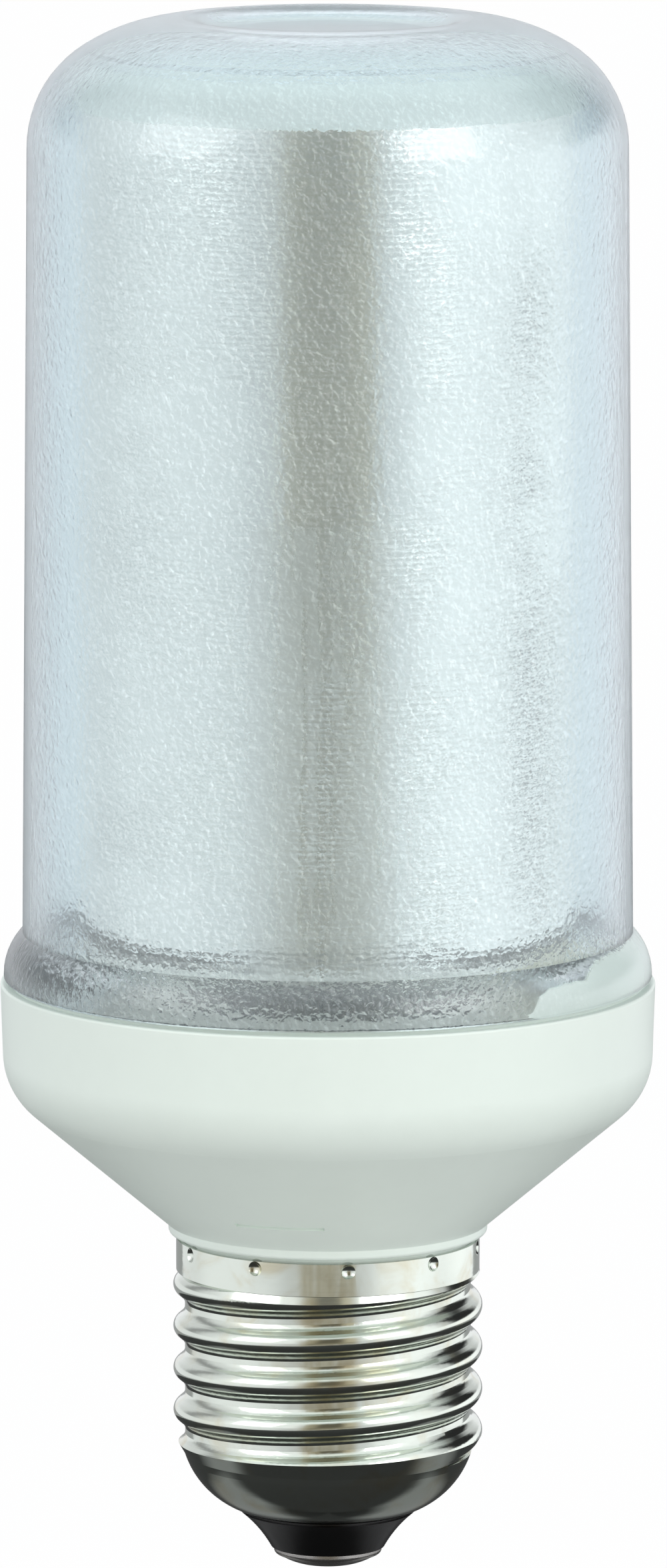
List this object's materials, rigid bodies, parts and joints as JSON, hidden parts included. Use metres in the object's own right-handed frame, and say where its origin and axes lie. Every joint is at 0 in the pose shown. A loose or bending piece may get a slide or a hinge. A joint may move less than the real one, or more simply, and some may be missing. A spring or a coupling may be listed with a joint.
{
  "type": "led bulb",
  "caption": "Tubular LED bulb with a pebbled clear cover over a silvery drum, an off-white cup and cone housing and a rolled Edison screw cap.",
  "frame": {"origin": "centre of the flat on the centre contact, the lowest point of the bulb", "axes": "+Z along the bulb's axis from the screw cap to the cover; -Y is the front seen in the picture"},
  "size_m": [0.0554, 0.0554, 0.1321],
  "materials": {
    "cover": "clear polycarbonate with a pebbled outer face, slightly milky",
    "adhesive": "white silicone adhesive",
    "housing": "off-white PBT, satin, a faint green cast",
    "nickel": "bright nickel plate on brass sheet",
    "insulator": "black glossy moulding",
    "contact": "nickel-plated rivet",
    "carrier": "white moulding",
    "flex_board": "flexible circuit board with white solder mask",
    "sleeve": "silvery film with fine rings",
    "drum_cap": "cream white moulding",
    "led": "white package with yellow phosphor",
    "board": "green glass-fibre circuit board",
    "capacitor_can": "aluminium can in a dark sleeve",
    "winding": "enamelled copper on a ferrite drum",
    "film_capacitor": "red resin-coated film capacitor",
    "chip": "black moulded package",
    "resistor": "coated wire-wound resistor",
    "connector": "white connector housing",
    "lead": "insulated stranded wire"
  },
  "bodies": {
    "root": {"diffuser_cover": "cover", "cover_adhesive": "adhesive", "base_housing": "housing", "screw_shell": "nickel", "cap_insulator": "insulator", "centre_contact": "contact", "led_carrier": "carrier", "led_flex_board": "flex_board", "inner_sleeve": "sleeve", "drum_cap": "drum_cap", "driver_board": "board", "bulk_capacitor": "capacitor_can", "output_capacitor": "capacitor_can", "power_inductor": "winding", "film_capacitor": "film_capacitor", "bridge_rectifier": "chip", "driver_chip": "chip", "flyback_diode": "chip", "fusible_resistor": "resistor", "chip_resistors": "chip", "board_connector": "connector", "live_lead": "lead", "neutral_lead": "lead", "led_row_1": "led", "led_row_2": "led", "led_row_3": "led", "led_row_4": "led", "led_row_5": "led", "led_row_6": "led", "led_row_7": "led", "led_row_8": "led", "led_row_9": "led"}
  },
  "joints": []
}
